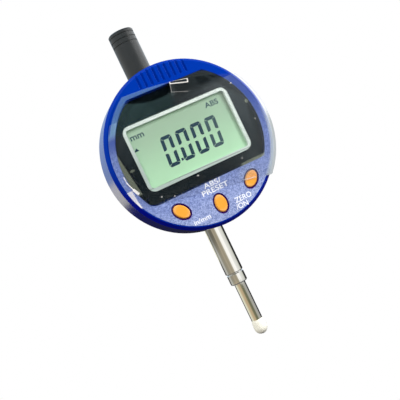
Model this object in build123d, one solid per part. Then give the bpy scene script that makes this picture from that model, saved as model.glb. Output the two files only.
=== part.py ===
from build123d import *
from math import cos, degrees, radians, sin
import os

# Digital indicator: a round turning display head on a fixed rear case, with a steel stem,
# a sprung spindle and a long dust cap.
#
# Millimetres. +Z runs up the spindle, the display faces -Y, and +X is to the viewer's right.
# The origin is on the spindle's axis, halfway along the free length of the stem.
#
# "Depth" is measured from the head's front face towards the back.
# "Face" coordinates (x, z) are measured from the centre of the round head.

# Clearances
FIT = 0.02                    # between pieces that are pressed, glued or screwed together
RUNNING_FIT = 0.03            # radial, between a moving piece and its guide
TURNING_FIT = 0.05            # radial, between the head and its hub
REST_GAP = 0.1                # between pieces that only come to rest on each other
SWEEP_GAP = 0.3               # between pieces that pass each other

# Turning head
HEAD_RADIUS = 35.0
HEAD_WALL = 2.0
HEAD_FRONT_WALL = 3.0
HEAD_RIM_CHAMFER = 1.2
HEAD_BACK_THICKNESS = 2.2
HEAD_BACK_WIDTH = 15.0        # from the hub to the inside of the head's wall
HEAD_TURN = 135.0             # degrees each way from upright

# Grip grooves across the top of the head's face
GROOVE_COUNT = 9
GROOVE_PITCH = 2.55
GROOVE_RADIUS = 0.55
GROOVE_CENTRE_X = 0.9
GROOVE_STANDOFF = 2.3         # from the top of the lens to the grooves' lower ends

# Lens, a disc cut straight above and below the display
LENS_TOP_CUT = 5.2            # height taken off the disc's top
LENS_BOTTOM_CUT = 13.8        # and off its bottom
LENS_TOP_CORNER = 8.0
LENS_BOTTOM_CORNER = 4.0
LENS_THICKNESS = 2.0
LENS_PROUD = 0.45
MASK_THICKNESS = 0.15
MASK_INSET = 0.45

# Metallic face plate round the sides and bottom of the lens
RIM_WIDTH = 1.7               # from the plate to the head's outside
LABEL_BAND = 2.7              # from the lens to the plate's outside
LABEL_DROP = 6.4              # from the top of the lens to the plate's upper ends
LABEL_CORNER = 0.8
LABEL_THICKNESS = 0.2

# Display window, frame and cell
WINDOW_SIDE_MARGIN = 6.8      # from the window to the lens's edge
WINDOW_TOP_MARGIN = 9.15
WINDOW_BOTTOM_MARGIN = 5.15
WINDOW_CORNER = 3.2
FRAME_BORDER = 1.45
VIEW_CORNER = 1.3
FRAME_HIDDEN = 0.5            # frame lip that lies behind the mask
FRAME_LIP = 1.4
FRAME_WALL = 1.2
CELL_MARGIN = 1.5             # display cell hidden behind the frame's border, each side
CELL_THICKNESS = 2.2
CONTACT_WIDTH = 1.6
CONTACT_INSET = 1.2
CONTACT_HEIGHT = 2.7

# Circuit board and screws of the head
BOARD_THICKNESS = 1.2
BOARD_EDGE_GAP = 2.0
BOARD_ROOM = 0.8              # behind the board, clear of the retaining ring's screws
MAIN_SCREW_INSET = 3.4        # from the inside of the head's wall
MAIN_SCREW_ANGLES = [-33.0, 66.0, 114.0, 213.0]
BACK_SCREW_INSET = 2.6
BACK_SCREW_ANGLES = [-19.0, 45.0, 135.0, 199.0]
BOSS_WALL = 1.45

# Oval buttons
BUTTON_HALF_WIDTH = 2.45
BUTTON_HALF_LENGTH = 3.6
BUTTON_SIDE_INSET = 5.2       # from the middle of a side button to the face plate's outside
BUTTON_CENTRE_INSET = 6.6
BUTTON_SIDE_ANGLE = 35.0      # degrees round the head from the centre button
BUTTON_LEAN = 44.0            # degrees that the side buttons lean away from upright
BUTTON_PROUD = 0.4
BUTTON_EDGE = 0.35
BUTTON_FLANGE = 1.0
BUTTON_FLANGE_THICKNESS = 0.8
BUTTON_HOLE_GAP = 0.25
BUTTON_LABEL_GAP = 0.75
BUTTON_STROKE = 0.5
PLUNGER_RADIUS = 1.5
SWITCH_SIDE = 4.2
SWITCH_BASE = 1.0
SWITCH_DOME = 0.5

# Rear case, as large as what it holds
CASE_MARGIN = 3.35            # between the battery well and the case's wall
CASE_WALL = 2.0
CASE_CORNER = 1.0
HUB_WALL = 4.5
HUB_PLAY = 0.3
HUB_SCREW_ANGLES = [45.0, 135.0, 225.0, 315.0]
RETAINER_OVERLAP = 2.5
RETAINER_THICKNESS = 1.0
FRICTION_RING_SECTION = 0.55  # radius of the ring's round section
PEG_STANDOFF = 3.2            # from the hub to the middle of the stop peg
PEG_RADIUS = 1.0
PEG_HEIGHT = 1.4
PEG_GROOVE_DEPTH = 1.5
CABLE_HOLE_RADIUS = 3.0
COVER_THICKNESS = 2.0
COVER_SCREW_INSET = 1.8       # from the inside of the case's wall
COVER_SCREW_ANGLES = [60.0, 120.0, 240.0, 300.0]
NECK_REACH = 3.0              # how far the neck boss stands above the round case
NECK_INSIDE = 3.0             # how far it stands into the case
BOSS_REACH = 6.0              # how far the stem boss hangs below the round case
BOSS_INSIDE = 4.0             # how far it stands into the case

# Stem and what it carries
STEM_RADIUS = 4.0
STEM_FREE_LENGTH = 22.2
STEM_SHOULDER = 0.25          # step down to the stretch that is pressed into the case
STEM_BORE_RADIUS = 3.0
STEM_BOSS_WALL = 1.5
SPIGOT_LENGTH = 3.3
SPIGOT_WALL = 0.3
NUT_LENGTH = 4.7
NUT_STEP = 0.2                # how much smaller in radius the nut is than the stem
NUT_GROOVE = 0.3              # between the stem's foot and the nut
NUT_GROOVE_CHAMFER = 0.3      # on both sides of that groove
NUT_END_WALL = 0.6
NUT_CHAMFER = 0.4
LOWER_BUSHING_LENGTH = 12.0
UPPER_BUSHING_RADIUS = 3.8

# Spindle
SPINDLE_RADIUS = 2.5
SPINDLE_SHOWING = 17.4        # spindle that shows below the end nut
SPINDLE_TOP_ROOM = 3.0        # left above the spindle when it is pushed right up
TRAVEL = 12.7
CONTACT_RADIUS = 2.95
CONTACT_LENGTH = 6.65
CONTACT_THREAD_RADIUS = 1.25
CONTACT_THREAD_LENGTH = 4.0

# Slider, scale and spring
SLIDER_FRONT_WALL = 1.6
SLIDER_BACK_WALL = 2.2
SLIDER_HALF_WIDTH = 5.0
SLIDER_HEIGHT = 14.0
SLIDER_SCREW_RADIUS = 1.0
SLIDER_SCREW_SPACING = 8.0
SLIDER_SCREW_SOCKET = 0.5
SLIDER_SCREW_SOCKET_DEPTH = 1.0
BUMPER_HEIGHT = 3.0
SCALE_WIDTH = 9.0
SCALE_LENGTH = 30.0
SCALE_THICKNESS = 1.2
PIN_RADIUS = 1.0
PIN_REACH = 5.8
PIN_ABOVE_SLIDER_FOOT = 8.0
RAIL_WALL = 1.5
RAIL_WEB = 1.2
RAIL_MARGIN = 2.5
RAIL_OVERLAP = 2.6            # length of the guide pin that lies inside the rail
RAIL_FOOT_WIDTH = 5.6
RAIL_SCREW_SPACING = 14.0
SPRING_WIRE_RADIUS = 0.3
SPRING_TURNS = 9

# Sensor board
SENSOR_STANDOFF = 0.5
SENSOR_LEFT_GAP = 0.6         # from the guide rail
SENSOR_RIGHT_MARGIN = 1.4     # past the battery's side contact
SENSOR_HALF_HEIGHT = 14.0
SENSOR_EDGE_GAP = 1.0
SENSOR_SCREW_LEFT_INSET = 2.3
SENSOR_SCREW_RIGHT_INSET = 5.5
SENSOR_SCREW_END_INSET = 2.5
SENSOR_BOSS_WALL = 1.0

# Link between the two boards, along the head's turning axis
SOCKET_WIDTH = 4.0
SOCKET_HEIGHT = 3.4
SOCKET_LENGTH = 2.2
CABLE_RADIUS = 1.1

# Battery
BATTERY_RADIUS = 5.8
BATTERY_THICKNESS = 5.4
WELL_WALL = 1.2
WELL_STANDOFF = 3.35          # between the slider and the battery well
CAP_FLANGE = 1.5
CAP_FLANGE_THICKNESS = 1.1
CAP_SLOT_WIDTH = 1.6
CAP_SLOT_END = 1.5            # rim left at each end of the coin slot
CAP_SLOT_DEPTH = 0.7
CAP_SEAL_SECTION = 0.3
LEAF_THICKNESS = 0.3
LEAF_WIDTH = 2.4
LEAF_SLOT_MARGIN = 0.4
BATTERY_STEP = 0.3            # rise of the cell's smaller front end
CUP_SPRING_WIRE = 0.3
CUP_SPRING_TURNS = 3

# Dust cap
DUST_CAP_RADIUS = 5.65
DUST_CAP_LENGTH = 26.9
DUST_CAP_TOP_WALL = 2.0
DUST_CAP_BORE = 3.3
DUST_CAP_CHAMFER = 0.5
DUST_CAP_GROOVE_DEPTH = 0.25
DUST_CAP_GROOVE_WIDTH = 0.45
DUST_CAP_GROOVE_PITCH = 2.1
DUST_CAP_GROOVES = 3
DUST_CAP_FIRST_GROOVE = 1.5
NIPPLE_RADIUS = 4.4
NIPPLE_LENGTH = 5.5

# Protective film with its pull tab, stuck on a little askew
FILM_INSET = 0.6              # from the head's outside
FILM_TOP_REACH = 0.7          # above the lens
FILM_TOP_BOW = 130.0          # radius of its slightly bowed top edge
FILM_BOTTOM_REACH = 3.2       # below the lens
FILM_CORNER = 1.0
FILM_THICKNESS = 0.1
FILM_SHIFT_X = 1.0
FILM_SHIFT_Z = -0.5
FILM_TILT = -10.0             # degrees
TAB_WIDTH = 8.4
TAB_HEIGHT = 5.6
TAB_CORNER = 0.3
TAB_INSET = 0.2

# Screws
SCREW_RADIUS = 0.8
SCREW_HEAD_RADIUS = 1.45
SCREW_HEAD_HEIGHT = 0.9
SCREW_BITE = 2.6
SCREW_RECESS = 0.4
SCREW_CROSS = 1.9

# Face sizes that follow from the head's radius
head_cavity_radius = HEAD_RADIUS - HEAD_WALL
label_radius = HEAD_RADIUS - RIM_WIDTH
lens_radius = label_radius - LABEL_BAND
lens_top = lens_radius - LENS_TOP_CUT
lens_bottom = LENS_BOTTOM_CUT - lens_radius
label_top = lens_top - LABEL_DROP
window_width = 2 * (lens_radius - WINDOW_SIDE_MARGIN)
window_top = lens_top - WINDOW_TOP_MARGIN
window_bottom = lens_bottom + WINDOW_BOTTOM_MARGIN
window_height = window_top - window_bottom
window_middle = (window_top + window_bottom) / 2
film_radius = HEAD_RADIUS - FILM_INSET
film_top = lens_top + FILM_TOP_REACH
film_bottom = lens_bottom - FILM_BOTTOM_REACH

# Depths that follow from the stack of pieces, front to back
lens_back = LENS_THICKNESS - LENS_PROUD
pocket_floor = lens_back + MASK_THICKNESS
cell_front = pocket_floor + FRAME_LIP
cell_back = cell_front + CELL_THICKNESS
main_front = cell_back + CONTACT_HEIGHT
main_back = main_front + BOARD_THICKNESS
retainer_front = main_back + BOARD_ROOM + SCREW_HEAD_HEIGHT
retainer_back = retainer_front + RETAINER_THICKNESS
head_back_front = retainer_back + HUB_PLAY
head_depth = head_back_front + HEAD_BACK_THICKNESS
case_front = head_depth + HUB_PLAY
case_inside = case_front + CASE_WALL
sensor_front = case_inside + SENSOR_STANDOFF
sensor_back = sensor_front + BOARD_THICKNESS
scale_front = sensor_back + SWEEP_GAP
scale_back = scale_front + SCALE_THICKNESS
spindle_depth = scale_back + SLIDER_FRONT_WALL + SPINDLE_RADIUS
slider_back = spindle_depth + SPINDLE_RADIUS + SLIDER_BACK_WALL
stem_boss_radius = STEM_RADIUS + STEM_BOSS_WALL
cover_front = max(slider_back, spindle_depth + stem_boss_radius) + SWEEP_GAP
cover_back = cover_front + COVER_THICKNESS

# Battery well beside the slider, and the case round both
well_radius = BATTERY_RADIUS + SWEEP_GAP / 2
battery_x = SLIDER_HALF_WIDTH + WELL_STANDOFF + WELL_WALL + well_radius
case_inner_radius = battery_x + well_radius + WELL_WALL + CASE_MARGIN
case_radius = case_inner_radius + CASE_WALL
cover_screw_circle = case_inner_radius - COVER_SCREW_INSET
battery_back = cover_front
battery_front = battery_back - BATTERY_THICKNESS
battery_cap_radius = well_radius + CAP_FLANGE

# Heights, from the stem upwards
stem_foot = -STEM_FREE_LENGTH / 2
boss_foot = STEM_FREE_LENGTH / 2
head_z = boss_foot + BOSS_REACH + case_radius
boss_top = head_z - case_inner_radius + BOSS_INSIDE
neck_foot = head_z + case_inner_radius - NECK_INSIDE
neck_top = head_z + case_radius + NECK_REACH
spigot_foot = stem_foot - SPIGOT_LENGTH
spigot_radius = STEM_BORE_RADIUS + SPIGOT_WALL
stem_shank_radius = STEM_RADIUS - STEM_SHOULDER
nut_top = stem_foot - NUT_GROOVE
nut_foot = nut_top - NUT_LENGTH
spindle_foot = nut_foot - SPINDLE_SHOWING
dust_cap_foot = neck_top + FIT
dust_cap_top = dust_cap_foot + DUST_CAP_LENGTH
spindle_top = dust_cap_top - DUST_CAP_TOP_WALL - TRAVEL - SPINDLE_TOP_ROOM
bumper_top = boss_top + BUMPER_HEIGHT
slider_foot = bumper_top + REST_GAP
slider_top = slider_foot + SLIDER_HEIGHT
pin_z = slider_foot + PIN_ABOVE_SLIDER_FOOT
scale_foot = boss_top + SWEEP_GAP
spring_foot = slider_top + FIT
spring_top = neck_foot - FIT
spring_radius = SPINDLE_RADIUS + SLIDER_FRONT_WALL - SWEEP_GAP - SPRING_WIRE_RADIUS

# Shapes that several pieces share
hub_radius = head_cavity_radius - HEAD_BACK_WIDTH
hub_inner_radius = hub_radius - HUB_WALL
retainer_radius = hub_radius + RETAINER_OVERLAP
hub_screw_circle = (hub_inner_radius + hub_radius - 2 * FRICTION_RING_SECTION) / 2
peg_circle = hub_radius + PEG_STANDOFF
screw_boss_radius = SCREW_RADIUS + BOSS_WALL
cell_width = window_width - 2 * FRAME_BORDER + 2 * CELL_MARGIN
cell_height = window_height - 2 * FRAME_BORDER + 2 * CELL_MARGIN
frame_width = cell_width + 2 * FRAME_WALL
frame_height = cell_height + 2 * FRAME_WALL
lip_width = window_width + 2 * FRAME_HIDDEN
lip_height = window_height + 2 * FRAME_HIDDEN
rail_left = -SLIDER_HALF_WIDTH - PIN_REACH - SWEEP_GAP - RAIL_WEB
rail_foot = pin_z - PIN_RADIUS - RAIL_MARGIN
rail_top = pin_z + TRAVEL + PIN_RADIUS + RAIL_MARGIN
leaf_left = battery_x + BATTERY_RADIUS + FIT
sensor_left = rail_left + RAIL_WEB + SENSOR_LEFT_GAP
sensor_right = leaf_left + LEAF_THICKNESS + SENSOR_RIGHT_MARGIN


def slab(profile, front, back):
    """A front-view profile about the head's centre, made solid between two depths."""
    plane = Plane.XZ.offset(spindle_depth - back)
    return extrude(plane * (Pos(0, head_z) * profile), amount=back - front)


def disc(radius, front, back, x=0.0, z=0.0):
    """A cylinder along the depth, centred on a point of the face."""
    return slab(Pos(x, z) * Circle(radius), front, back)


def rod(radius, foot, top):
    """A cylinder about the spindle's axis."""
    return Pos(0, 0, foot) * Cylinder(radius, top - foot, align=(Align.CENTER, Align.CENTER, Align.MIN))


def tube(outer, inner, foot, top):
    """A sleeve about the spindle's axis."""
    return rod(outer, foot, top) - rod(inner, foot, top)


def block(left, right, front, back, foot, top):
    """A box given by its sides, with its depths and its true heights."""
    size = (right - left, back - front, top - foot)
    centre = ((left + right) / 2, (front + back) / 2 - spindle_depth, (foot + top) / 2)
    return Pos(*centre) * Box(*size)


def chopped_disc(radius, top, bottom, top_corner, bottom_corner):
    """A disc cut straight above and below, with rounded corners."""
    band = Pos(0, (top + bottom) / 2) * Rectangle(2 * radius + 2, top - bottom)
    outline = Circle(radius) & band
    outline = fillet(outline.vertices().sort_by(Axis.Y)[-2:], top_corner)
    return fillet(outline.vertices().sort_by(Axis.Y)[:2], bottom_corner)


def lens_outline(grow):
    return chopped_disc(lens_radius + grow, lens_top + grow, lens_bottom - grow,
                        LENS_TOP_CORNER + grow, LENS_BOTTOM_CORNER + grow)


def window_outline(width, height, corner):
    return Pos(0, window_middle) * RectangleRounded(width, height, corner)


def oval(name, grow):
    """A button's outline, grown all round."""
    x, z, lean = button_places()[name]
    return Pos(x, z) * Rot(0, 0, lean) * Ellipse(BUTTON_HALF_WIDTH + grow, BUTTON_HALF_LENGTH + grow)


def round_places(radius, angles):
    """Points round the head's centre, at angles in degrees from +X."""
    return [(radius * cos(radians(a)), radius * sin(radians(a))) for a in angles]


def button_places():
    """Each button's middle on the face, and how far it leans."""
    side = label_radius - BUTTON_SIDE_INSET
    (left, right) = round_places(side, [-90 - BUTTON_SIDE_ANGLE, -90 + BUTTON_SIDE_ANGLE])
    return {
        "button_left": (*left, BUTTON_LEAN),
        "button_centre": (0, BUTTON_CENTRE_INSET - label_radius, 0),
        "button_right": (*right, -BUTTON_LEAN),
    }


def main_screw_places():
    return round_places(head_cavity_radius - MAIN_SCREW_INSET, MAIN_SCREW_ANGLES)


def back_screw_places():
    return round_places(head_cavity_radius - BACK_SCREW_INSET, BACK_SCREW_ANGLES)


def screw(place, seat, direction):
    """A pan-head screw; direction +1 drives it backwards, -1 forwards."""
    x, z = place
    tip = seat + direction * SCREW_BITE
    crown = seat - direction * SCREW_HEAD_HEIGHT
    shank = disc(SCREW_RADIUS, min(seat, tip), max(seat, tip), x, z)
    head = disc(SCREW_HEAD_RADIUS, min(seat, crown), max(seat, crown), x, z)
    recess_floor = crown + direction * SCREW_RECESS
    bar = Rectangle(SCREW_CROSS, SCREW_RECESS)
    cross = bar + Rot(0, 0, 90) * bar
    recess = slab(Pos(x, z) * cross, min(crown, recess_floor), max(crown, recess_floor))
    return shank + head - recess


def screw_hole(place, seat, direction):
    """The hole that a screw's shank needs, with a little room past its tip."""
    tip = seat + direction * (SCREW_BITE + REST_GAP)
    return disc(SCREW_RADIUS + FIT, min(seat, tip), max(seat, tip), *place)


def save(name, *solids):
    shape = solids[0] if len(solids) == 1 else Compound(children=list(solids))
    export_step(shape, f"parts/{name}.step")


def peg_groove(angle, depth_front, depth_back):
    """An arc slot for the stop peg, open through the given turn each way from straight down."""
    half_width = PEG_RADIUS + REST_GAP
    start = -90 - angle
    path = CenterArc((0, 0), peg_circle, start, 2 * angle)
    slot = SlotArc(path, 2 * half_width)
    return slab(slot, depth_front, depth_back)


# Turning head
def head_shell():
    body = disc(HEAD_RADIUS, 0, head_depth)
    front_edge = body.edges().sort_by(Axis.Y)[0]
    body = chamfer(front_edge, HEAD_RIM_CHAMFER)
    body -= disc(head_cavity_radius, HEAD_FRONT_WALL, head_depth)
    for place in main_screw_places():
        body += disc(screw_boss_radius, HEAD_FRONT_WALL, main_front, *place)
        body -= screw_hole(place, main_back, -1)
    for place in back_screw_places():
        body += disc(screw_boss_radius, HEAD_FRONT_WALL, head_back_front, *place)
        body -= screw_hole(place, head_depth - SCREW_HEAD_HEIGHT, -1)
    body -= slab(lens_outline(REST_GAP), 0, pocket_floor)
    body -= slab(window_outline(lip_width + REST_GAP, lip_height + REST_GAP, WINDOW_CORNER),
                 pocket_floor, HEAD_FRONT_WALL)
    for name in button_places():
        body -= slab(oval(name, BUTTON_HOLE_GAP), 0, HEAD_FRONT_WALL)
    for i in range(GROOVE_COUNT):
        body -= grip_groove(i)
    return body


def grip_groove(index):
    x = GROOVE_CENTRE_X + (index - (GROOVE_COUNT - 1) / 2) * GROOVE_PITCH
    foot = head_z + lens_top + GROOVE_STANDOFF
    length = head_z + HEAD_RADIUS + GROOVE_RADIUS - foot
    bar = Cylinder(GROOVE_RADIUS, length, align=(Align.CENTER, Align.CENTER, Align.MIN))
    return Pos(x, -spindle_depth, foot) * (bar + Sphere(GROOVE_RADIUS))


def face_label():
    above = Pos(0, label_top + label_radius) * Rectangle(2 * label_radius, 2 * label_radius)
    outline = Circle(label_radius) - above
    outline = fillet(outline.vertices(), LABEL_CORNER)
    outline -= lens_outline(REST_GAP)
    for name in button_places():
        outline -= oval(name, BUTTON_LABEL_GAP)
    return slab(outline, -LABEL_THICKNESS, 0)


def lens():
    plate = slab(lens_outline(0), -LENS_PROUD, lens_back)
    return chamfer(plate.faces().sort_by(Axis.Y)[0].edges(), LENS_PROUD / 2)


def lens_mask():
    window = window_outline(window_width, window_height, WINDOW_CORNER)
    return slab(lens_outline(-MASK_INSET) - window, lens_back, pocket_floor)


def lcd_frame():
    view = window_outline(window_width - 2 * FRAME_BORDER, window_height - 2 * FRAME_BORDER, VIEW_CORNER)
    pocket = Pos(0, window_middle) * Rectangle(cell_width + 2 * REST_GAP, cell_height + 2 * REST_GAP)
    lip = slab(window_outline(lip_width, lip_height, WINDOW_CORNER), pocket_floor, HEAD_FRONT_WALL)
    body = slab(window_outline(frame_width, frame_height, WINDOW_CORNER), HEAD_FRONT_WALL, main_front)
    return lip + body - slab(view, pocket_floor, cell_front) - slab(pocket, cell_front, main_front)


def lcd_glass():
    return slab(Pos(0, window_middle) * Rectangle(cell_width, cell_height), cell_front, cell_back)


def contact_strips():
    offset = cell_height / 2 - CONTACT_INSET - CONTACT_WIDTH / 2
    strip = Rectangle(cell_width - 2 * CONTACT_INSET, CONTACT_WIDTH)
    return [slab(Pos(0, window_middle + side * offset) * strip, cell_back, main_front) for side in (-1, 1)]


def main_board():
    outline = Circle(head_cavity_radius - BOARD_EDGE_GAP)
    for place in back_screw_places():
        outline -= Pos(*place) * Circle(screw_boss_radius + SWEEP_GAP)
    for place in main_screw_places():
        outline -= Pos(*place) * Circle(SCREW_RADIUS + FIT)
    return slab(outline, main_front, main_back)


def switches():
    base_front = main_front - SWITCH_BASE
    made = []
    for x, z, lean in button_places().values():
        base = slab(Pos(x, z) * Rot(0, 0, lean) * Rectangle(SWITCH_SIDE, SWITCH_SIDE), base_front, main_front)
        made.append(base + disc(PLUNGER_RADIUS, base_front - SWITCH_DOME, base_front, x, z))
    return made


def button(name):
    x, z, _ = button_places()[name]
    flange_front = HEAD_FRONT_WALL + REST_GAP / 2
    flange_back = flange_front + BUTTON_FLANGE_THICKNESS
    plunger_end = main_front - SWITCH_BASE - SWITCH_DOME - REST_GAP / 2 - BUTTON_STROKE
    key = slab(oval(name, 0), -BUTTON_PROUD, flange_front)
    key = chamfer(key.faces().sort_by(Axis.Y)[0].edges(), BUTTON_EDGE)
    flange = slab(oval(name, BUTTON_FLANGE), flange_front, flange_back)
    return key + flange + disc(PLUNGER_RADIUS, flange_back, plunger_end, x, z)


def head_back():
    ring = Circle(head_cavity_radius - REST_GAP) - Circle(hub_radius + TURNING_FIT)
    plate = slab(ring, head_back_front, head_depth)
    travel = HEAD_TURN + degrees(REST_GAP / peg_circle)
    plate -= peg_groove(travel, head_depth - PEG_GROOVE_DEPTH, head_depth)
    for place in back_screw_places():
        plate -= disc(SCREW_RADIUS + FIT, head_back_front, head_depth, *place)
        plate -= disc(SCREW_HEAD_RADIUS + REST_GAP, head_depth - SCREW_HEAD_HEIGHT, head_depth, *place)
    return plate


def film_place():
    return Pos(FILM_SHIFT_X, FILM_SHIFT_Z) * Rot(0, 0, FILM_TILT)


def protective_film():
    bowed = Pos(0, film_top - FILM_TOP_BOW) * Circle(FILM_TOP_BOW)
    below = Pos(0, film_bottom - film_radius) * Rectangle(2 * film_radius, 2 * film_radius)
    sheet = (Circle(film_radius) & bowed) - below
    sheet = fillet(sheet.vertices(), FILM_CORNER)
    return slab(film_place() * sheet, -LENS_PROUD - FILM_THICKNESS, -LENS_PROUD)


def film_tab():
    middle = film_top - TAB_INSET - TAB_HEIGHT / 2
    tab = Pos(0, middle) * RectangleRounded(TAB_WIDTH, TAB_HEIGHT, TAB_CORNER)
    front = -LENS_PROUD - 2 * FILM_THICKNESS
    return slab(film_place() * tab, front, front + FILM_THICKNESS)


# Rear case
def rear_case():
    shell = disc(case_radius, case_front, cover_front)
    shell = fillet(shell.edges().sort_by(Axis.Y)[0], CASE_CORNER)
    shell += rod(stem_boss_radius, boss_foot, head_z - case_inner_radius)
    shell += rod(stem_boss_radius, head_z + case_inner_radius, neck_top)
    shell -= disc(case_inner_radius, case_inside, cover_front)
    inside = disc(case_inner_radius + CASE_WALL / 2, case_inside - CASE_WALL / 2, cover_front)
    shell += rod(stem_boss_radius, head_z - case_radius, boss_top) & inside
    shell += rod(stem_boss_radius, neck_foot, head_z + case_radius) & inside
    shell -= rod(stem_shank_radius + FIT, boss_foot, boss_top)
    shell -= rod(UPPER_BUSHING_RADIUS + FIT, neck_foot, neck_top)
    hub = Circle(hub_radius) - Circle(hub_inner_radius)
    shell += slab(hub, retainer_back, case_front)
    shell -= friction_groove()
    shell += disc(PEG_RADIUS, case_front - PEG_HEIGHT, case_front, 0, -peg_circle)
    shell -= disc(CABLE_HOLE_RADIUS, case_front, case_inside)
    for place in hub_screw_places():
        shell -= screw_hole(place, retainer_front, 1)
    for place in sensor_screw_places():
        shell += disc(SCREW_RADIUS + SENSOR_BOSS_WALL, case_inside, sensor_front, *place)
        shell -= screw_hole(place, sensor_back, -1)
    for place in rail_screw_places():
        shell -= screw_hole(place, case_inside + RAIL_WEB, -1)
    for place in cover_screw_places():
        shell += disc(screw_boss_radius, case_inside, cover_front, *place) & inside
        shell -= screw_hole(place, cover_back - SCREW_HEAD_HEIGHT, -1)
    return shell


def hub_screw_places():
    return round_places(hub_screw_circle, HUB_SCREW_ANGLES)


def cover_screw_places():
    return round_places(cover_screw_circle, COVER_SCREW_ANGLES)


def sensor_screw_places():
    left = sensor_left + SENSOR_SCREW_LEFT_INSET
    right = sensor_right - SENSOR_SCREW_RIGHT_INSET
    end = SENSOR_HALF_HEIGHT - SENSOR_SCREW_END_INSET
    return [(x, z) for x in (left, right) for z in (-end, end)]


def rail_screw_places():
    x = rail_left - RAIL_FOOT_WIDTH / 2
    middle = (rail_foot + rail_top) / 2 - head_z
    return [(x, middle + side * RAIL_SCREW_SPACING / 2) for side in (-1, 1)]


def friction_groove_middle():
    return (head_back_front + head_depth) / 2


def friction_groove():
    middle = friction_groove_middle()
    half = FRICTION_RING_SECTION + FIT
    ring = Circle(hub_radius) - Circle(hub_radius - 2 * half)
    return slab(ring, middle - half, middle + half)


def friction_ring():
    circle = hub_radius - FRICTION_RING_SECTION
    place = Pos(0, friction_groove_middle() - spindle_depth, head_z) * Rot(90, 0, 0)
    return place * Torus(circle, FRICTION_RING_SECTION)


def retaining_ring():
    ring = Circle(retainer_radius) - Circle(hub_inner_radius + REST_GAP)
    for place in hub_screw_places():
        ring -= Pos(*place) * Circle(SCREW_RADIUS + FIT)
    return slab(ring, retainer_front, retainer_back)


def back_cover():
    plate = disc(case_radius, cover_front, cover_back)
    plate = fillet(plate.edges().sort_by(Axis.Y)[-1], CASE_CORNER)
    plate += disc(well_radius + WELL_WALL, battery_front, cover_front, battery_x)
    plate -= disc(well_radius, battery_front, cover_back, battery_x)
    plate -= disc(battery_cap_radius + REST_GAP, cover_back - CAP_FLANGE_THICKNESS, cover_back, battery_x)
    slot_half = LEAF_WIDTH / 2 + LEAF_SLOT_MARGIN
    plate -= block(battery_x, battery_x + well_radius + WELL_WALL, battery_front, cover_front,
                   head_z - slot_half, head_z + slot_half)
    for place in cover_screw_places():
        plate -= disc(SCREW_RADIUS + FIT, cover_front, cover_back, *place)
        plate -= disc(SCREW_HEAD_RADIUS + REST_GAP, cover_back - SCREW_HEAD_HEIGHT, cover_back, *place)
    return plate


def battery():
    can_front = battery_front + BATTERY_STEP
    can = disc(BATTERY_RADIUS, can_front, battery_back, battery_x)
    button_end = disc(BATTERY_RADIUS - WELL_WALL, battery_front, can_front, battery_x)
    return can + button_end


def battery_cap():
    flange_front = cover_back - CAP_FLANGE_THICKNESS
    cap = disc(battery_cap_radius, flange_front, cover_back, battery_x)
    plug = disc(well_radius - FIT, battery_back + FIT, flange_front, battery_x)
    plug -= battery_cap_groove()
    slot = Pos(battery_x, 0) * Rectangle(2 * (battery_cap_radius - CAP_SLOT_END), CAP_SLOT_WIDTH)
    return cap + plug - slab(slot, cover_back - CAP_SLOT_DEPTH, cover_back)


def battery_cap_seal_middle():
    return (battery_back + cover_back - CAP_FLANGE_THICKNESS) / 2


def battery_cap_groove():
    half = CAP_SEAL_SECTION + FIT
    ring = Circle(well_radius) - Circle(well_radius - 2 * half)
    middle = battery_cap_seal_middle()
    return slab(Pos(battery_x, 0) * ring, middle - half, middle + half)


def battery_cap_seal():
    place = Pos(battery_x, battery_cap_seal_middle() - spindle_depth, head_z) * Rot(90, 0, 0)
    return place * Torus(well_radius - CAP_SEAL_SECTION - FIT, CAP_SEAL_SECTION)


def battery_contacts():
    leaf = block(leaf_left, leaf_left + LEAF_THICKNESS, sensor_back, cover_front - REST_GAP,
                 head_z - LEAF_WIDTH / 2, head_z + LEAF_WIDTH / 2)
    room = battery_front - sensor_back - 2 * CUP_SPRING_WIRE
    path = Helix(pitch=room / CUP_SPRING_TURNS, height=room, radius=BATTERY_RADIUS / 2)
    section = Plane(origin=path @ 0, z_dir=path % 0) * Circle(CUP_SPRING_WIRE)
    coil = sweep(section, path=path)
    start = Pos(battery_x, sensor_back + CUP_SPRING_WIRE - spindle_depth, head_z) * Rot(-90, 0, 0)
    return [leaf, start * coil]


# Stem and cap
def stem():
    body = rod(STEM_RADIUS, stem_foot, boss_foot)
    body = chamfer(body.edges().group_by(Axis.Z)[0], NUT_GROOVE_CHAMFER)
    body += rod(stem_shank_radius, boss_foot, boss_top - REST_GAP)
    body += rod(spigot_radius, spigot_foot, stem_foot)
    return body - rod(STEM_BORE_RADIUS, spigot_foot, boss_top)


def end_nut():
    nut = rod(STEM_RADIUS - NUT_STEP, nut_foot, nut_top)
    nut = chamfer(nut.edges().group_by(Axis.Z)[0], NUT_CHAMFER)
    nut = chamfer(nut.edges().group_by(Axis.Z)[-1], NUT_GROOVE_CHAMFER)
    nut -= rod(spigot_radius + FIT, nut_foot + NUT_END_WALL, nut_top)
    return nut - rod(SPINDLE_RADIUS + SWEEP_GAP / 2, nut_foot, nut_top)


def wiper_seal():
    return tube(spigot_radius, SPINDLE_RADIUS + RUNNING_FIT, nut_foot + NUT_END_WALL, spigot_foot - FIT)


def lower_bushing():
    foot = spigot_foot + REST_GAP
    return tube(STEM_BORE_RADIUS - FIT / 2, SPINDLE_RADIUS + RUNNING_FIT, foot, foot + LOWER_BUSHING_LENGTH)


def upper_bushing():
    body = rod(UPPER_BUSHING_RADIUS, neck_foot, neck_top)
    body += rod(NIPPLE_RADIUS, neck_top, neck_top + NIPPLE_LENGTH)
    return body - rod(SPINDLE_RADIUS + RUNNING_FIT, neck_foot, neck_top + NIPPLE_LENGTH)


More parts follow.
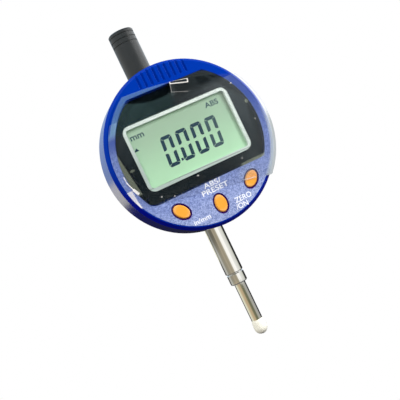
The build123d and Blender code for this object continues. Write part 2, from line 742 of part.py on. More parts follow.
def dust_cap():
    cap = rod(DUST_CAP_RADIUS, dust_cap_foot, dust_cap_top)
    cap = chamfer(cap.edges().group_by(Axis.Z)[-1], DUST_CAP_CHAMFER)
    for i in range(DUST_CAP_GROOVES):
        top = dust_cap_top - DUST_CAP_FIRST_GROOVE - i * DUST_CAP_GROOVE_PITCH
        floor_radius = DUST_CAP_RADIUS - DUST_CAP_GROOVE_DEPTH
        cap -= tube(DUST_CAP_RADIUS, floor_radius, top - DUST_CAP_GROOVE_WIDTH, top)
    cap -= rod(DUST_CAP_BORE, dust_cap_foot, dust_cap_top - DUST_CAP_TOP_WALL)
    return cap - rod(NIPPLE_RADIUS + FIT, dust_cap_foot, neck_top + NIPPLE_LENGTH + REST_GAP)


# Plunger
def spindle():
    shaft = rod(SPINDLE_RADIUS, spindle_foot, spindle_top)
    hole_top = spindle_foot + CONTACT_THREAD_LENGTH + REST_GAP
    return shaft - rod(CONTACT_THREAD_RADIUS + FIT, spindle_foot, hole_top)


def contact_point():
    foot = spindle_foot - CONTACT_LENGTH
    ball_centre = foot + CONTACT_RADIUS
    with BuildPart() as point:
        with BuildSketch(Plane.XZ):
            with BuildLine():
                swell = Spline((SPINDLE_RADIUS, spindle_foot), (CONTACT_RADIUS, ball_centre),
                               tangents=[(0.3, -1), (0, -1)])
                ball = CenterArc((0, ball_centre), CONTACT_RADIUS, 0, -90)
                Polyline(ball @ 1, (0, spindle_foot), swell @ 0)
            make_face()
        revolve(axis=Axis.Z)
    return point.part + rod(CONTACT_THREAD_RADIUS, spindle_foot, spindle_foot + CONTACT_THREAD_LENGTH)


def slider():
    half = SLIDER_HALF_WIDTH
    body = block(-half, half, scale_back, slider_back, slider_foot, slider_top)
    body -= rod(SPINDLE_RADIUS + FIT, slider_foot, slider_top)
    body -= pin_bar(PIN_RADIUS + FIT)
    for z in slider_screw_heights():
        body -= disc(SLIDER_SCREW_RADIUS + FIT, spindle_depth, slider_back, 0, z)
    return body


def slider_screw_heights():
    middle = (slider_foot + slider_top) / 2 - head_z
    return [middle + side * SLIDER_SCREW_SPACING / 2 for side in (-1, 1)]


def slider_screws():
    front = spindle_depth + SPINDLE_RADIUS + FIT
    back = slider_back - REST_GAP
    made = []
    for z in slider_screw_heights():
        plain = disc(SLIDER_SCREW_RADIUS, front, back, 0, z)
        hexagon = Pos(0, z) * RegularPolygon(SLIDER_SCREW_SOCKET, 6)
        socket = slab(hexagon, back - SLIDER_SCREW_SOCKET_DEPTH, back)
        made.append(plain - socket)
    return made


def pin_bar(radius):
    inner = -SPINDLE_RADIUS - SWEEP_GAP
    outer = -SLIDER_HALF_WIDTH - PIN_REACH
    bar = Rot(0, 90, 0) * Cylinder(radius, inner - outer, align=(Align.CENTER, Align.CENTER, Align.MAX))
    return Pos(inner, 0, pin_z) * bar


def guide_pin():
    return pin_bar(PIN_RADIUS)


def scale_strip():
    half = SCALE_WIDTH / 2
    return block(-half, half, scale_front, scale_back, scale_foot, scale_foot + SCALE_LENGTH)


def guide_rail():
    left = rail_left
    tip = -SLIDER_HALF_WIDTH - PIN_REACH + RAIL_OVERLAP
    slot_half = PIN_RADIUS + RUNNING_FIT
    front = spindle_depth - slot_half - RAIL_WALL
    back = spindle_depth + slot_half + RAIL_WALL
    channel = block(left, tip, front, back, rail_foot, rail_top)
    channel -= block(left + RAIL_WEB, tip, spindle_depth - slot_half, spindle_depth + slot_half,
                     rail_foot, rail_top)
    leg = block(left, left + RAIL_WEB, case_inside, front, rail_foot, rail_top)
    foot_plate = block(left - RAIL_FOOT_WIDTH, left, case_inside, case_inside + RAIL_WEB,
                       rail_foot, rail_top)
    rail = channel + leg + foot_plate
    for place in rail_screw_places():
        rail -= disc(SCREW_RADIUS + FIT, case_inside, case_inside + RAIL_WEB, *place)
    return rail


def bumper():
    outer = SPINDLE_RADIUS + SLIDER_FRONT_WALL - SWEEP_GAP
    return tube(outer, SPINDLE_RADIUS + SWEEP_GAP, boss_top, bumper_top)


def return_spring():
    height = spring_top - spring_foot - 2 * SPRING_WIRE_RADIUS
    path = Helix(pitch=height / SPRING_TURNS, height=height, radius=spring_radius)
    section = Plane(origin=path @ 0, z_dir=path % 0) * Circle(SPRING_WIRE_RADIUS)
    return Pos(0, 0, spring_foot + SPRING_WIRE_RADIUS) * sweep(section, path=path)


# Sensor board and link
def sensor_board():
    middle = (sensor_left + sensor_right) / 2
    outline = Circle(case_inner_radius - SENSOR_EDGE_GAP)
    outline &= Pos(middle, 0) * Rectangle(sensor_right - sensor_left, 2 * SENSOR_HALF_HEIGHT)
    for place in sensor_screw_places():
        outline -= Pos(*place) * Circle(SCREW_RADIUS + FIT)
    return slab(outline, sensor_front, sensor_back)


def sensor_socket():
    return slab(Rectangle(SOCKET_WIDTH, SOCKET_HEIGHT), sensor_front - SOCKET_LENGTH, sensor_front)


def display_socket():
    return slab(Rectangle(SOCKET_WIDTH, SOCKET_HEIGHT), main_back, main_back + SOCKET_LENGTH)


def link_cable():
    return disc(CABLE_RADIUS, main_back + SOCKET_LENGTH + REST_GAP, sensor_front - SOCKET_LENGTH)


def main():
    os.makedirs("parts", exist_ok=True)
    save("head_shell", head_shell())
    save("face_label", face_label())
    save("lens", lens())
    save("lens_mask", lens_mask())
    save("lcd_frame", lcd_frame())
    save("lcd_glass", lcd_glass())
    save("contact_strips", *contact_strips())
    save("main_board", main_board())
    save("main_board_screws", *[screw(place, main_back, -1) for place in main_screw_places()])
    save("display_socket", display_socket())
    save("switches", *switches())
    save("head_back", head_back())
    back_seat = head_depth - SCREW_HEAD_HEIGHT
    save("head_back_screws", *[screw(place, back_seat, -1) for place in back_screw_places()])
    save("protective_film", protective_film())
    save("film_tab", film_tab())
    for name in button_places():
        save(name, button(name))
    save("rear_case", rear_case())
    save("friction_ring", friction_ring())
    save("retaining_ring", retaining_ring())
    save("retaining_ring_screws", *[screw(place, retainer_front, 1) for place in hub_screw_places()])
    save("sensor_board", sensor_board())
    save("sensor_board_screws", *[screw(place, sensor_back, -1) for place in sensor_screw_places()])
    save("sensor_socket", sensor_socket())
    save("link_cable", link_cable())
    save("back_cover", back_cover())
    cover_seat = cover_back - SCREW_HEAD_HEIGHT
    save("back_cover_screws", *[screw(place, cover_seat, -1) for place in cover_screw_places()])
    save("battery", battery())
    save("battery_contacts", *battery_contacts())
    save("battery_cap", battery_cap())
    save("battery_cap_seal", battery_cap_seal())
    save("stem", stem())
    save("end_nut", end_nut())
    save("wiper_seal", wiper_seal())
    save("lower_bushing", lower_bushing())
    save("upper_bushing", upper_bushing())
    save("dust_cap", dust_cap())
    save("spindle", spindle())
    save("contact_point", contact_point())
    save("slider", slider())
    save("slider_screws", *slider_screws())
    save("guide_pin", guide_pin())
    save("scale_strip", scale_strip())
    save("guide_rail", guide_rail())
    rail_seat = case_inside + RAIL_WEB
    save("guide_rail_screws", *[screw(place, rail_seat, -1) for place in rail_screw_places()])
    save("bumper", bumper())
    save("return_spring", return_spring())


main()
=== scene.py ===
from math import cos, degrees, pi, radians, sin, tan

import bpy
from mathutils import Matrix, Vector

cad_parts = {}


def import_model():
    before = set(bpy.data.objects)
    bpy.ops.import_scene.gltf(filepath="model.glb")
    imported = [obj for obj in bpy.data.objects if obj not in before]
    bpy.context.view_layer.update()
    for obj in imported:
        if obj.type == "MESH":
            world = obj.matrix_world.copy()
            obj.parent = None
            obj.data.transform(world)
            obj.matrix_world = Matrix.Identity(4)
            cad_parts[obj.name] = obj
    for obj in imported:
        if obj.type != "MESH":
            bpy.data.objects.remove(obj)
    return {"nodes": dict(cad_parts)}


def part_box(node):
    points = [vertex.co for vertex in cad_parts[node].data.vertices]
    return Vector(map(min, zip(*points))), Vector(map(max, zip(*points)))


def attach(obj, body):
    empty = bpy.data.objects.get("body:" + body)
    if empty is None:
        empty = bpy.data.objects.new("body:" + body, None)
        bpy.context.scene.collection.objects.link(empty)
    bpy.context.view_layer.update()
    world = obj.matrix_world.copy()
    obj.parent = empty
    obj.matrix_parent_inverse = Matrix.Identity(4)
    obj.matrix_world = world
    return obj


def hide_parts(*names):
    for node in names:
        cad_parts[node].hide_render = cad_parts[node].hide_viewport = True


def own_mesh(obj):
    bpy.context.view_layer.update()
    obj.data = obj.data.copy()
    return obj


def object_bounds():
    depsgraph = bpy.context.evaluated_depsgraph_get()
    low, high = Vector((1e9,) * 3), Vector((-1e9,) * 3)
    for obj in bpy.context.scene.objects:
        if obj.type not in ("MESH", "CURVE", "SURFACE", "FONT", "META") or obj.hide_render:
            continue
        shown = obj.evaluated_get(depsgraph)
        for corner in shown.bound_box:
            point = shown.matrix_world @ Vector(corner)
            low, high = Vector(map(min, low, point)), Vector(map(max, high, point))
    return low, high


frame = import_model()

# The look of the digital indicator. Lengths are in millimetres until they reach Blender, and
# angles are in degrees. "Face" coordinates (x, z) are measured from the centre of the round
# head's front face, and depth from that face towards the back. Every piece's mesh is in the row
# frame, so a shader's object coordinates are row-frame metres. Colours are linear.

MM = 0.001
UP = Vector((0, 0, 1))
BUTTONS = ("button_left", "button_centre", "button_right")

cad_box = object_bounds()
head_low, head_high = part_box("head_shell")
FACE_CENTRE = Vector((0, head_low.y, (head_low.z + head_high.z) / 2))


def on_face(x, z, depth=0.0):
    """A point of the row frame, from face coordinates and depth."""
    return FACE_CENTRE + Vector((x, depth, z)) * MM


def face_box(node):
    """Low and high corner of a CAD node's box, as (x, depth, z) from the face's centre."""
    return [(corner - FACE_CENTRE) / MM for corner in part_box(node)]


def srgb(red, green, blue):
    """Linear colour from a screen colour of 0 to 255."""
    shares = [value / 255 for value in (red, green, blue)]
    return [s / 12.92 if s < 0.04045 else ((s + 0.055) / 1.055) ** 2.4 for s in shares]


def add_object(name, data):
    """A new object, put in the scene."""
    made = bpy.data.objects.new(name, data)
    bpy.context.scene.collection.objects.link(made)
    return made


HEAD_RADIUS = face_box("head_shell")[1].x
lens_low, lens_high = face_box("lens")
LENS_RADIUS = lens_high.x
LENS_BOTTOM = lens_low.z
LENS_TOP = lens_high.z
LABEL_FRONT = face_box("face_label")[0].y
CELL_FRONT = face_box("lcd_glass")[0].y


# Shader building

class Shader:
    """Adds and links the nodes of one material or world."""

    def __init__(self, owner):
        self.owner = owner
        owner.use_nodes = True
        self.tree = owner.node_tree
        self.tree.nodes.clear()
        self.place = None
        self.flat = None

    def add(self, kind, inputs=None, **settings):
        """A node with its settings, and its inputs by name or number."""
        made = self.tree.nodes.new("ShaderNode" + kind)
        for name, value in settings.items():
            setattr(made, name, value)
        for key, value in (inputs or {}).items():
            self.feed(made.inputs[key], value)
        return made

    def feed(self, socket, value):
        """Gives a socket a link from another node, or a constant."""
        if isinstance(value, bpy.types.NodeSocket):
            self.tree.links.new(value, socket)
        elif isinstance(value, bpy.types.Node):
            self.tree.links.new(value.outputs[0], socket)
        elif socket.type == "RGBA":
            socket.default_value = (*value, 1)
        else:
            socket.default_value = value

    def position(self):
        if self.place is None:
            self.place = self.add("TexCoord").outputs["Object"]
        return self.place

    def along(self, direction):
        """Millimetres from the face's centre along a direction of the row frame."""
        scaled = Vector(direction) / MM
        dot = self.add("VectorMath", {0: self.position(), 1: scaled}, operation="DOT_PRODUCT")
        return self.minus(dot.outputs["Value"], scaled.dot(FACE_CENTRE))

    def face(self):
        """Face coordinates x and z, and the distance from the face's centre."""
        if self.flat is None:
            x = self.along((1, 0, 0))
            z = self.along((0, 0, 1))
            self.flat = x, z, self.distance(x, z)
        return self.flat

    def math(self, operation, first, second=0.0, third=0.0):
        return self.add("Math", {0: first, 1: second, 2: third}, operation=operation).outputs[0]

    def product(self, *values):
        result = values[0]
        for value in values[1:]:
            result = self.math("MULTIPLY", result, value)
        return result

    def plus(self, *values):
        result = values[0]
        for value in values[1:]:
            result = self.math("ADD", result, value)
        return result

    def minus(self, first, second):
        return self.math("SUBTRACT", first, second)

    def inverse(self, share):
        return self.minus(1.0, share)

    def slope(self, value, factor, offset):
        return self.math("MULTIPLY_ADD", value, factor, offset)

    def distance(self, across, up):
        return self.math("SQRT", self.plus(self.product(across, across), self.product(up, up)))

    def rise(self, value, start, end):
        """0 before start, 1 after end, smooth between; start may be the larger."""
        return self.add("MapRange", {"Value": value, "From Min": start, "From Max": end},
                        interpolation_type="SMOOTHSTEP").outputs[0]

    def band(self, value, low, high, soft):
        """1 between low and high, falling to 0 over soft on each side."""
        return self.product(self.rise(value, low - soft, low), self.rise(value, high + soft, high))

    def spot(self, middle_x, middle_z, half_width, half_height):
        """A soft oval mark on the face, half as strong at its outline."""
        x, z, _ = self.face()
        across = self.math("DIVIDE", self.minus(x, middle_x), half_width)
        up = self.math("DIVIDE", self.minus(z, middle_z), half_height)
        return self.rise(self.plus(self.product(across, across), self.product(up, up)), 1.4, 0.3)

    def stroke(self, start, end, width):
        """A soft straight mark on the face."""
        x, z, _ = self.face()
        run = Vector(end) - Vector(start)
        length = run.length
        run.normalize()
        off_x = self.minus(x, start[0])
        off_z = self.minus(z, start[1])
        along = self.plus(self.product(off_x, run.x), self.product(off_z, run.y))
        across = self.plus(self.product(off_x, run.y), self.product(off_z, -run.x))
        return self.product(self.band(along, 0, length, 0.15),
                            self.band(across, -width / 2, width / 2, 0.12))

    def noise(self, size, detail=2.0, stretch=None):
        """Soft noise whose features measure about size millimetres, times stretch on each axis."""
        place = self.position()
        if stretch:
            place = self.add("VectorMath", {0: place, 1: [1 / s for s in stretch]},
                             operation="MULTIPLY").outputs[0]
        return self.add("TexNoise", {"Vector": place, "Scale": 1 / (size * MM),
                                     "Detail": detail}).outputs[0]

    def cells(self, size):
        """Random grey of small cells, as in metal flake."""
        flakes = self.add("TexVoronoi", {"Vector": self.position(), "Scale": 1 / (size * MM)})
        return self.add("SeparateColor", {0: flakes.outputs["Color"]}).outputs[0]

    def mix(self, factor, first, second):
        """Mix of two colours."""
        return self.add("Mix", {0: factor, 6: first, 7: second}, data_type="RGBA").outputs[2]

    def blend(self, factor, first, second):
        """Mix of two shaders."""
        return self.add("MixShader", {0: factor, 1: first, 2: second})

    def fresnel(self, index):
        return self.add("Fresnel", {"IOR": index}).outputs[0]

    def bump(self, height, distance, normal=None):
        inputs = {"Height": height, "Distance": distance * MM, "Strength": 1.0}
        if normal is not None:
            inputs["Normal"] = normal
        return self.add("Bump", inputs).outputs[0]

    def bevel(self, radius):
        return self.add("Bevel", {"Radius": radius * MM}, samples=4).outputs[0]

    def principled(self, inputs):
        return self.add("BsdfPrincipled", inputs)

    def finish(self, shader):
        kind = "OutputWorld" if isinstance(self.owner, bpy.types.World) else "OutputMaterial"
        self.add(kind, {"Surface": shader})


# Materials, kept by the names of their slots

MATERIALS = {}


def new_shader(name):
    MATERIALS[name] = bpy.data.materials.new(name)
    return Shader(MATERIALS[name])


def plain_surface(name, colour, rough, metal=0.0, tone=0.08, grain=0.4, depth=0.004, edge=0.08,
                  stretch=None, specular=0.5):
    """A moulded, turned or painted surface: uneven tone, fine grain and softened edges."""
    s = new_shader(name)
    fine = s.noise(grain, 3.0, stretch)
    uneven = s.slope(fine, 0.5, s.product(s.noise(6.0), 0.5))
    darker = [c * (1 - tone) for c in colour]
    lighter = [min(1.0, c * (1 + tone)) for c in colour]
    s.finish(s.principled({
        "Base Color": s.mix(uneven, darker, lighter),
        "Metallic": metal,
        "Roughness": s.slope(fine, 0.3 * rough, 0.85 * rough),
        "Specular IOR Level": specular,
        "Normal": s.bump(fine, depth, s.bevel(edge) if edge else None),
    }))


def spun_metal(name, colour, rough):
    """Plated or turned metal whose grain runs round the parts."""
    plain_surface(name, colour, rough, metal=1.0, tone=0.12, grain=0.3, depth=0.002, edge=0.05,
                  stretch=(1, 8, 1))


def ink(name, colour, rough=0.5, specular=0.2):
    """Flat print."""
    plain_surface(name, colour, rough, edge=0, specular=specular)


def near_buttons(s, reach, soft):
    """1 within reach of a button's middle."""
    x, z, _ = s.face()
    shares = []
    for name in BUTTONS:
        low, high = face_box(name)
        middle = (low + high) / 2
        away = s.distance(s.minus(x, middle.x), s.minus(z, middle.z))
        shares.append(s.rise(away, reach, reach - soft))
    return s.plus(*shares)


def blue_plastic():
    """Deep blue moulding, with painted shade round the rim's foot, the buttons and the lens's
    opening.
    """
    s = new_shader("blue_plastic")
    x, z, radius = s.face()
    fine = s.noise(0.5, 3.0)
    uneven = s.slope(fine, 0.5, s.product(s.noise(6.0), 0.5))
    colour = s.mix(uneven, (0, 0.026, 0.3), (0, 0.034, 0.36))
    # Painted shade on the rim's lower part, whose chamfer faces down
    foot = s.product(s.rise(radius, HEAD_RADIUS - 1.4, HEAD_RADIUS - 1.2), s.rise(z, 8, -14))
    colour = s.mix(foot, colour, (0.001, 0.004, 0.25))
    opening = s.rise(radius, LENS_RADIUS + 0.3, LENS_RADIUS + 0.1)
    # Painted shade, near black, on the opening's wall above the lens
    upper_wall = s.product(opening, s.rise(z, LENS_TOP + 0.3, LENS_TOP), s.rise(x, -1, 3))
    colour = s.mix(upper_wall, colour, (0.004, 0.006, 0.02))
    # Painted shadow line along the opening's lower edge, under the lens
    sill = s.product(opening, s.band(z, LENS_BOTTOM - 0.4, LENS_BOTTOM + 0.3, 0.1))
    colour = s.mix(sill, colour, (0.02, 0.03, 0.05))
    # Painted shade in the gaps round the buttons
    colour = s.mix(near_buttons(s, 4.9, 0.2), colour, (0.03, 0.001, 0.09))
    side_wall = s.rise(radius, HEAD_RADIUS - 0.3, HEAD_RADIUS - 0.1)
    s.finish(s.principled({
        "Base Color": colour,
        "Roughness": s.plus(s.product(fine, 0.08), s.slope(side_wall, -0.12, 0.27)),
        "Specular IOR Level": 0.5,
        "Specular Tint": (0.02, 0.08, 0.7),
        "Normal": s.bump(fine, 0.002, s.bevel(0.25)),
    }))


def face_metallic():
    """Blue-grey paint with metal flake, with a painted reflection that lightens it towards the foot
    and painted shade at its upper ends.
    """
    s = new_shader("face_metallic")
    x, z, _ = s.face()
    fine = s.cells(0.22)
    coarse = s.cells(0.5)
    sparkle = s.slope(fine, 0.55, s.product(coarse, 0.45))
    upper = s.mix(sparkle, srgb(74, 94, 164), srgb(158, 178, 240))
    # Lighter flake for the foot: the flake is the paint's own, its extra lightness a painted
    # reflection
    lower = s.mix(sparkle, srgb(82, 100, 164), srgb(196, 210, 254))
    # Painted shade darkens the right and left upper ends
    right_end = s.product(s.rise(x, 18, 28), s.rise(z, -12, 10))
    left_end = s.product(s.rise(x, -22, -28), s.rise(z, 4, 14))
    upper = s.mix(s.plus(right_end, left_end), upper, srgb(66, 92, 178))
    s.finish(s.principled({
        # Painted reflection lightens the label towards its foot
        "Base Color": s.mix(s.rise(z, -12, -30), upper, lower),
        "Metallic": 0.35,
        "Roughness": s.slope(fine, 0.25, 0.32),
        "Specular IOR Level": 0.4,
        "Normal": s.bump(sparkle, 0.02),
    }))


def orange_button():
    """Orange key, paler towards its edge."""
    s = new_shader("orange_button")
    fine = s.noise(0.6, 3.0)
    uneven = s.slope(fine, 0.5, s.product(s.noise(3.0), 0.5))
    colour = s.mix(uneven, srgb(226, 152, 46), srgb(240, 166, 60))
    pale = s.product(s.inverse(near_buttons(s, 3.3, 1.4)), 0.6)
    s.finish(s.principled({
        "Base Color": s.mix(pale, colour, srgb(248, 178, 112)),
        "Roughness": s.slope(fine, 0.15, 0.42),
        "Specular IOR Level": 0.3,
        "Normal": s.bump(fine, 0.01, s.bevel(0.3)),
    }))


def above_display(s):
    """1 on the lens above the display, right of the middle."""
    x, z, _ = s.face()
    return s.product(s.rise(x, 1, 4), s.rise(z, 17, 21))


def clear_lens():
    """Clear moulding, seen through, with gloss that grows towards its edges and a haze above."""
    s = new_shader("clear_lens")
    gloss = s.add("BsdfGlossy", {"Color": (1, 1, 1), "Roughness": 0.04,
                                 "Normal": s.bump(s.noise(9.0), 0.01, s.bevel(0.15))})
    clear = s.add("BsdfTransparent", {"Color": (0.98, 0.99, 0.985)})
    white = s.add("BsdfDiffuse", {"Color": (0.8, 0.96, 1.0)})
    body = s.blend(s.product(above_display(s), 0.026), clear, white)
    s.finish(s.blend(s.fresnel(1.1), body, gloss))


# Painted highlights on the film: on specks as (x, z, half width, half height), and on creases and
# the tab's edges as (start, end, width, strength)
FILM_SPECK_GLINTS = [
    (-20.9, -14.5, 0.28, 0.24),
    (-16.0, -16.3, 0.24, 0.2),
    (-3.8, -12.9, 0.3, 0.3),
    (16.2, -14.0, 0.26, 0.22),
    (28.9, -1.5, 0.24, 0.2),
    (26.0, 15.7, 0.36, 0.22),
]
FILM_CREASE_GLINTS = [
    ((-31.2, -1.4), (-31.0, -4.2), 0.15, 0.9),
    ((-31.0, -4.2), (-29.8, -7.4), 0.25, 1.0),
    ((-29.8, -7.4), (-28.6, -9.8), 0.95, 1.0),
    ((2.4, 26.0), (9.7, 24.4), 0.3, 1.0),
    ((2.2, 24.9), (9.4, 22.9), 0.3, 0.9),
    ((2.2, 25.0), (2.5, 25.9), 0.3, 0.9),
    ((9.4, 23.0), (9.7, 24.3), 0.35, 1.0),
    ((1.3, 21.6), (2.1, 24.7), 0.12, 0.2),
    ((1.3, 21.6), (7.7, 19.4), 0.12, 0.15),
    ((12.6, -22.2), (18.2, -23.2), 0.25, 0.35),
]


def film_haze(s, wrinkle, on_lens, upper_left):
    """Share of white haze, which grows to the right and is missing where the film lies tight."""
    x, z, radius = s.face()
    lens_haze = s.plus(s.product(s.rise(x, -5, 30), 0.026), s.product(z, 0.0007), 0.006)
    lens_haze = s.product(lens_haze, s.inverse(above_display(s)))
    from_bow = s.plus(x, 4.5)
    bow = s.slope(s.product(from_bow, from_bow), 0.018, 20.95)
    tight = s.product(s.rise(s.minus(z, bow), -0.3, 0.7), s.rise(x, 2.4, 1.6))
    lens_haze = s.product(lens_haze, s.inverse(tight))

    right_rim = s.product(s.rise(x, 18, 26), s.rise(radius, 32.6, 33.6))
    right_rim = s.product(right_rim, s.slope(s.rise(z, 8, -8), 0.24, 0.02))
    left_rim = s.product(upper_left, s.slope(s.rise(z, 15, 22), -0.05, 0.11))
    right_button = s.product(s.spot(15.5, -20.5, 4.2, 3.6), 0.04)
    rim_haze = s.plus(s.product(wrinkle, 0.02), right_rim, left_rim, right_button)

    haze = s.slope(on_lens, s.minus(lens_haze, rim_haze), rim_haze)
    bare_edge = s.product(s.rise(radius, 32.5, 32.9), s.rise(z, 14, 17), s.rise(x, 10, 8))
    return s.product(haze, s.inverse(bare_edge))


def lifted_film_reflection(s, on_lens):
    """1 where the film stands off the lens and takes a painted olive reflection: at its left and
    lower right, and in two blisters.
    """
    x, z, _ = s.face()
    # Painted olive reflection where the film lifts off, at the left, lower right and on two blisters
    slanted = s.plus(x, s.product(z, 0.137))
    left = s.product(s.rise(slanted, -28.6, -29.0), s.band(z, -10.3, 8.0, 0.4), on_lens)
    lower_right = s.product(s.band(x, 15.5, 26.0, 1.5), s.rise(z, -15.6, -16.0), on_lens)
    faint_blister_reflection = s.product(s.spot(-27.0, -0.7, 1.1, 0.55), 0.8)
    return s.plus(left, lower_right, s.spot(28.8, 6.5, 0.8, 0.9), faint_blister_reflection)


def painted_film_glints(s):
    """Painted highlights on specks and creases, and in a wedge low on the left that narrows
    downwards.
    """
    x, z, radius = s.face()
    specks = [s.spot(*speck) for speck in FILM_SPECK_GLINTS]
    creases = [s.product(s.stroke(start, end, width), strength)
               for start, end, width, strength in FILM_CREASE_GLINTS]
    inner_edge = s.slope(z, -0.245, 29.6)
    wedge = s.product(s.rise(s.minus(radius, inner_edge), -0.3, 0.2), s.rise(radius, 33.85, 33.6),
                      s.band(z, -15.6, -7.9, 0.5), s.rise(x, -20, -22),
                      s.slope(s.rise(z, -11, -14), 0.35, 0.6))
    return s.plus(*specks, *creases, wedge)


def clear_film():
    """Protective film: hazy in parts, with a painted olive reflection where it lifts off and painted
    highlights on specks and creases.
    """
    s = new_shader("clear_film")
    x, z, radius = s.face()
    wrinkle = s.noise(7.0, 3.0)
    on_lens = s.product(s.rise(radius, LENS_RADIUS + 0.2, LENS_RADIUS - 0.1),
                        s.band(z, LENS_BOTTOM, LENS_TOP, 0.25))
    upper_left = s.product(s.rise(x, 3, -2), s.rise(z, 12, 16))
    # Painted grey reflection on the film's strip at its outer right edge
    overhang = s.product(s.rise(radius, 34.2, 34.6), s.rise(x, 18, 24), s.rise(z, 2, -8))
    layers = [
        (film_haze(s, wrinkle, on_lens, upper_left),
         s.mix(upper_left, (0.84, 0.96, 1.0), (0.55, 1.0, 1.0))),
        # Painted olive reflection where the film lifts off
        (s.product(lifted_film_reflection(s, on_lens), 0.17), (0.5, 0.56, 0.42)),
        # Painted highlights on specks, creases, the tab's edges and a wedge
        (s.product(painted_film_glints(s), 0.6), (1.0, 0.97, 0.95)),
        # Painted grey reflection on the overhanging strip
        (s.product(overhang, 0.8), (0.36, 0.39, 0.41)),
    ]
    body = s.add("BsdfTransparent", {"Color": (1, 1, 1)})
    for share, colour in layers:
        body = s.blend(share, body, s.add("BsdfDiffuse", {"Color": colour}))
    gloss = s.add("BsdfGlossy", {"Color": (1, 1, 1), "Roughness": 0.08,
                                 "Normal": s.bump(wrinkle, 0.05)})
    s.finish(s.blend(s.fresnel(1.15), body, gloss))


def lcd():
    """Pale green reflective display, lighter towards its foot, with a painted shadow along its right
    side.
    """
    s = new_shader("lcd")
    x, z, _ = s.face()
    colour = s.mix(s.rise(z, 14, -9), (0.43, 0.6, 0.44), (0.55, 0.86, 0.58))
    colour = s.mix(s.product(s.noise(0.35, 2.0), 0.08), colour, (0.4, 0.6, 0.42))
    # Painted shadow of the frame's inner wall along the right side
    shade = s.rise(s.plus(x, s.product(z, 0.05)), 20.4, 23.8)
    s.finish(s.principled({
        "Base Color": s.mix(s.product(shade, 0.8), colour, (0.13, 0.13, 0.1)),
        "Roughness": 0.45,
        "Specular IOR Level": 0.3,
    }))


def silver_frame():
    """Pale satin border of the display, with painted light on its upper right and a fine painted
    shadow line below.
    """
    s = new_shader("silver_frame")
    x, z, _ = s.face()
    # Painted light: brighter towards the upper right, darker to the left and foot
    lit = s.rise(s.plus(z, s.product(x, 0.5)), -16, 14)
    fine = s.noise(0.4, 3.0)
    colour = s.mix(lit, (0.55, 0.64, 0.61), (0.92, 1.0, 0.95))
    # Painted shadow line where the frame's lip meets the display
    painted_shadow_line = s.band(s.plus(z, s.product(x, 0.025)), -10.68, -10.5, 0.06)
    colour = s.mix(s.product(painted_shadow_line, 0.75), colour, (0.06, 0.1, 0.08))
    s.finish(s.principled({
        "Base Color": s.mix(s.product(fine, 0.1), colour, (0.6, 0.64, 0.62)),
        "Roughness": 0.4,
        "Normal": s.bump(fine, 0.003, s.bevel(0.12)),
    }))


def polished_steel():
    """Ground and polished steel with faint turning marks."""
    s = new_shader("polished_steel")
    rings = s.noise(0.35, 2.0, (40, 40, 1))
    s.finish(s.principled({
        "Base Color": s.mix(s.noise(5.0), (0.75, 0.75, 0.74), (0.8, 0.8, 0.79)),
        "Metallic": 1.0,
        "Roughness": s.slope(rings, 0.03, 0.02),
        "Normal": s.bump(rings, 0.001, s.bevel(0.08)),
    }))


def board_green():
    """Green solder mask with a faint weave and copper runs under it."""
    s = new_shader("board_green")
    weave = s.noise(0.5, 1.0, (6, 1, 1))
    runs = s.band(s.math("FRACT", s.product(s.along((0.7, 0, 0.7)), 0.4)), 0.3, 0.5, 0.02)
    patches = s.rise(s.noise(5.0), 0.45, 0.55)
    s.finish(s.principled({
        "Base Color": s.mix(s.product(runs, patches), (0.012, 0.1, 0.04), (0.03, 0.2, 0.08)),
        "Roughness": s.slope(weave, 0.15, 0.3),
        "Normal": s.bump(weave, 0.01),
    }))


blue_plastic()
face_metallic()
orange_button()
clear_lens()
clear_film()
lcd()
silver_frame()
polished_steel()
board_green()
plain_surface("cap_black", (0.024, 0.026, 0.026), 0.34, tone=0.15, grain=0.5, depth=0.006,
              edge=0.12, stretch=(1, 1, 6), specular=0.6)
plain_surface("case_black", (0.028, 0.028, 0.031), 0.5, depth=0.01, edge=0.15)
plain_surface("black_rubber", (0.02, 0.02, 0.02), 0.75, depth=0.01)
plain_surface("socket_white", (0.75, 0.73, 0.68), 0.5)
plain_surface("carbide_tip", (0.93, 0.91, 0.8), 0.4, tone=0.04, edge=0.05)
plain_surface("scale_glassfibre", (0.5, 0.42, 0.2), 0.5)
plain_surface("cable_grey", (0.3, 0.3, 0.32), 0.6)
spun_metal("steel_screw", (0.55, 0.55, 0.57), 0.3)
spun_metal("switch_metal", (0.6, 0.6, 0.62), 0.35)
spun_metal("bronze", (0.6, 0.4, 0.2), 0.35)
spun_metal("slider_metal", (0.6, 0.6, 0.62), 0.4)
spun_metal("spring_steel", (0.5, 0.5, 0.52), 0.3)
spun_metal("cell_steel", (0.65, 0.65, 0.66), 0.3)
ink("black_print", (0.003, 0.008, 0.012), 0.45, specular=0.12)
ink("display_ink", (0.018, 0.05, 0.085))
ink("faint_ink", (0.05, 0.1, 0.12))
ink("white_print", srgb(238, 240, 250), specular=0.5)

for node in frame["nodes"].values():
    for slot in node.material_slots:
        slot.material = MATERIALS[slot.material.name]


# Printed pieces

PRINT_THICKNESS = 0.02


def printed_piece(name, points, faces, material):
    """A piece of ink that turns with the head."""
    mesh = bpy.data.meshes.new(name)
    mesh.from_pydata([list(p) for p in points], [], faces)
    mesh.materials.append(MATERIALS[material])
    piece = add_object(name, mesh)
    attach(piece, "head")


